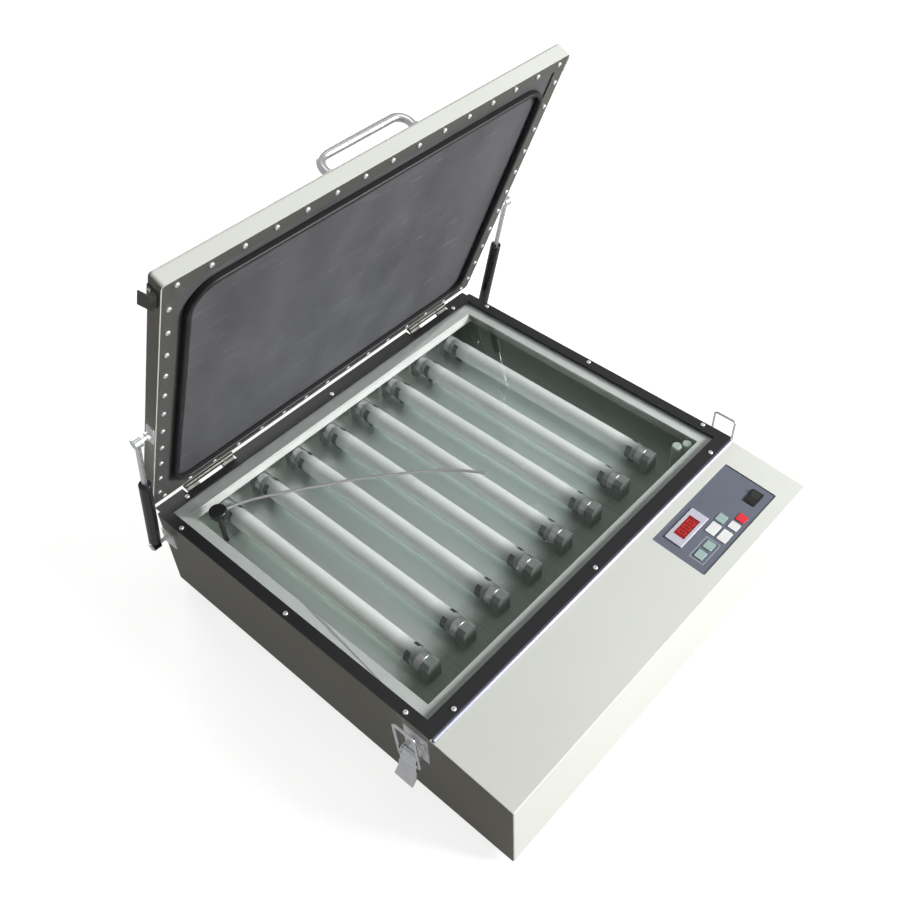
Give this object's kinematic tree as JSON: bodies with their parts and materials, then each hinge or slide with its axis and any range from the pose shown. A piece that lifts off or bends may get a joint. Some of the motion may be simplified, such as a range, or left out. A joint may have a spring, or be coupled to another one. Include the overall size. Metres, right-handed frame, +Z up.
{
  "type": "screen printing exposure unit",
  "caption": "Vacuum exposure unit for screen printing: light box with UV tubes under glass, sloping control deck, and a strut-held hinged lid with a rubber blanket, shut by side latches.",
  "frame": {"origin": "middle of the bounding box, on the surface the feet stand on", "axes": "+X to the right seen from the control deck, +Y back towards the hinges, +Z up"},
  "size_m": [0.7632, 0.7375, 0.7214],
  "materials": {
    "white_paint": "satin light powder coat",
    "black_coat": "satin black powder coat",
    "grey_clamp": "satin dark grey paint",
    "white_rail": "gloss white enamel",
    "ballast_grey": "satin grey paint",
    "panel_blue": "matte blue grey",
    "zinc_steel": "bright zinc plate",
    "bright_chrome": "polished",
    "bare_aluminium": "satin",
    "reflector_sheet": "bright rolled",
    "clear_glass": "clear float glass",
    "lamp_glass": "phosphor coated",
    "display_red": "tinted red",
    "black_rubber": "matte",
    "blanket_rubber": "matte with fine cloth grain",
    "grey_cord": "woven matte",
    "grey_foam": "matte foam",
    "black_plastic": "semi gloss",
    "white_plastic": "matte",
    "white_key": "satin",
    "red_key": "satin",
    "green_key": "satin",
    "lilac_plastic": "satin",
    "starter_plastic": "matte",
    "board_green": "solder mask"
  },
  "bodies": {
    "cabinet": {"base_housing": "white_paint", "bottom_plate": "white_paint", "rubber_feet": "black_rubber", "front_trim_strip": "bare_aluminium", "glass_frame": "black_coat", "frame_screws": "zinc_steel", "ledge_gasket": "grey_foam", "glass_plate": "clear_glass", "vacuum_port": "black_plastic", "bleeder_cord": "grey_cord", "reflector_tray": "reflector_sheet", "lamp_rails": "white_rail", "uv_tubes": "lamp_glass", "tube_caps": "bare_aluminium", "lampholders": "white_plastic", "tube_clips": "zinc_steel", "lamp_starters": "starter_plastic", "ballasts": "ballast_grey", "vacuum_pump": "bare_aluminium", "vacuum_hose": "black_rubber", "mains_inlet": "black_plastic", "control_panel": "panel_blue", "display_bezel": "lilac_plastic", "display_window": "display_red", "timer_board": "board_green", "rocker_bezel": "black_plastic", "hinge_body_leaves": "zinc_steel", "hinge_pins": "zinc_steel", "hinge_body_screws": "zinc_steel", "strut_base_brackets": "zinc_steel", "latch_bases": "bright_chrome", "side_rivets": "zinc_steel"},
    "lid": {"lid_shell": "white_paint", "clamp_frame": "grey_clamp", "clamp_screws": "zinc_steel", "rubber_blanket": "blanket_rubber", "seal_bead": "black_rubber", "lid_handle": "bright_chrome", "handle_screws": "zinc_steel", "hinge_lid_leaves": "zinc_steel", "hinge_lid_screws": "zinc_steel", "catch_plates": "zinc_steel", "strut_lid_brackets": "zinc_steel", "lid_rivets": "zinc_steel"},
    "strut_cylinder_left": {"strut_cylinder_left": "black_coat"},
    "strut_cylinder_right": {"strut_cylinder_right": "black_coat"},
    "strut_rod_left": {"strut_rod_left": "bright_chrome"},
    "strut_rod_right": {"strut_rod_right": "bright_chrome"},
    "latch_lever_left": {"latch_lever_left": "bright_chrome"},
    "latch_lever_right": {"latch_lever_right": "bright_chrome"},
    "latch_bail_left": {"latch_bail_left": "bright_chrome"},
    "latch_bail_right": {"latch_bail_right": "bright_chrome"},
    "button_white_upper": {"button_white_upper": "white_key"},
    "button_white_lower": {"button_white_lower": "white_key"},
    "button_white_small": {"button_white_small": "white_key"},
    "button_red": {"button_red": "red_key"},
    "button_green_right": {"button_green_right": "green_key"},
    "button_green_middle": {"button_green_middle": "green_key"},
    "button_green_left": {"button_green_left": "green_key"},
    "power_rocker": {"power_rocker": "black_plastic"}
  },
  "joints": [
    {"name": "lid_hinge", "type": "hinge", "parent": "cabinet", "child": "lid", "pos_m": [0, 0.35053, 0.172], "axis": [1, 0, 0], "range_deg": [0, 67], "stiffness_Nm_per_rad": 11, "springref_deg": -63.03},
    {"name": "strut_pivot_left", "type": "hinge", "parent": "cabinet", "child": "strut_cylinder_left", "pos_m": [-0.372, 0.33253, 0.122], "axis": [1, 0, 0], "range_deg": [0, 61.04]},
    {"name": "strut_slide_left", "type": "slide", "parent": "strut_cylinder_left", "child": "strut_rod_left", "axis": [0, -0.2343, 0.9722], "range_m": [-0.0528, 0]},
    {"name": "latch_lever_left_swing", "type": "hinge", "parent": "cabinet", "child": "latch_lever_left", "pos_m": [-0.362, -0.20347, 0.116], "axis": [0, 1, 0], "range_deg": [-12, 70]},
    {"name": "latch_bail_left_swing", "type": "hinge", "parent": "latch_lever_left", "child": "latch_bail_left", "pos_m": [-0.36589, -0.20347, 0.10251], "axis": [0, -1, 0], "range_deg": [-20.14, 117.42]},
    {"name": "strut_pivot_right", "type": "hinge", "parent": "cabinet", "child": "strut_cylinder_right", "pos_m": [0.372, 0.33253, 0.122], "axis": [1, 0, 0], "range_deg": [0, 61.04]},
    {"name": "strut_slide_right", "type": "slide", "parent": "strut_cylinder_right", "child": "strut_rod_right", "axis": [0, -0.2343, 0.9722], "range_m": [-0.0528, 0]},
    {"name": "latch_lever_right_swing", "type": "hinge", "parent": "cabinet", "child": "latch_lever_right", "pos_m": [0.362, -0.20347, 0.116], "axis": [0, -1, 0], "range_deg": [-12, 70]},
    {"name": "latch_bail_right_swing", "type": "hinge", "parent": "latch_lever_right", "child": "latch_bail_right", "pos_m": [0.36589, -0.20347, 0.10251], "axis": [0, 1, 0], "range_deg": [-20.14, 117.42]},
    {"name": "button_white_upper_press", "type": "slide", "parent": "cabinet", "child": "button_white_upper", "axis": [0, 0.083, -0.9965], "range_m": [0, 0.001], "stiffness_N_per_m": 300},
    {"name": "button_white_lower_press", "type": "slide", "parent": "cabinet", "child": "button_white_lower", "axis": [0, 0.083, -0.9965], "range_m": [0, 0.001], "stiffness_N_per_m": 300},
    {"name": "button_white_small_press", "type": "slide", "parent": "cabinet", "child": "button_white_small", "axis": [0, 0.083, -0.9965], "range_m": [0, 0.001], "stiffness_N_per_m": 300},
    {"name": "button_red_press", "type": "slide", "parent": "cabinet", "child": "button_red", "axis": [0, 0.083, -0.9965], "range_m": [0, 0.001], "stiffness_N_per_m": 300},
    {"name": "button_green_right_press", "type": "slide", "parent": "cabinet", "child": "button_green_right", "axis": [0, 0.083, -0.9965], "range_m": [0, 0.001], "stiffness_N_per_m": 300},
    {"name": "button_green_middle_press", "type": "slide", "parent": "cabinet", "child": "button_green_middle", "axis": [0, 0.083, -0.9965], "range_m": [0, 0.001], "stiffness_N_per_m": 300},
    {"name": "button_green_left_press", "type": "slide", "parent": "cabinet", "child": "button_green_left", "axis": [0, 0.083, -0.9965], "range_m": [0, 0.001], "stiffness_N_per_m": 300},
    {"name": "power_rocker_tilt", "type": "hinge", "parent": "cabinet", "child": "power_rocker", "pos_m": [0.2746, -0.32044, 0.15039], "axis": [0, 0.9965, 0.083], "range_deg": [0, 20]}
  ],
  "couplings": [
    {"joint": "strut_pivot_left", "follows": "lid_hinge", "ratio": 0.91099},
    {"joint": "strut_slide_left", "follows": "lid_hinge", "m_per_rad": -0.045098},
    {"joint": "latch_bail_left_swing", "follows": "latch_lever_left_swing", "ratio": 1.6773},
    {"joint": "strut_pivot_right", "follows": "lid_hinge", "ratio": 0.91099},
    {"joint": "strut_slide_right", "follows": "lid_hinge", "m_per_rad": -0.045098},
    {"joint": "latch_bail_right_swing", "follows": "latch_lever_right_swing", "ratio": 1.6773}
  ]
}
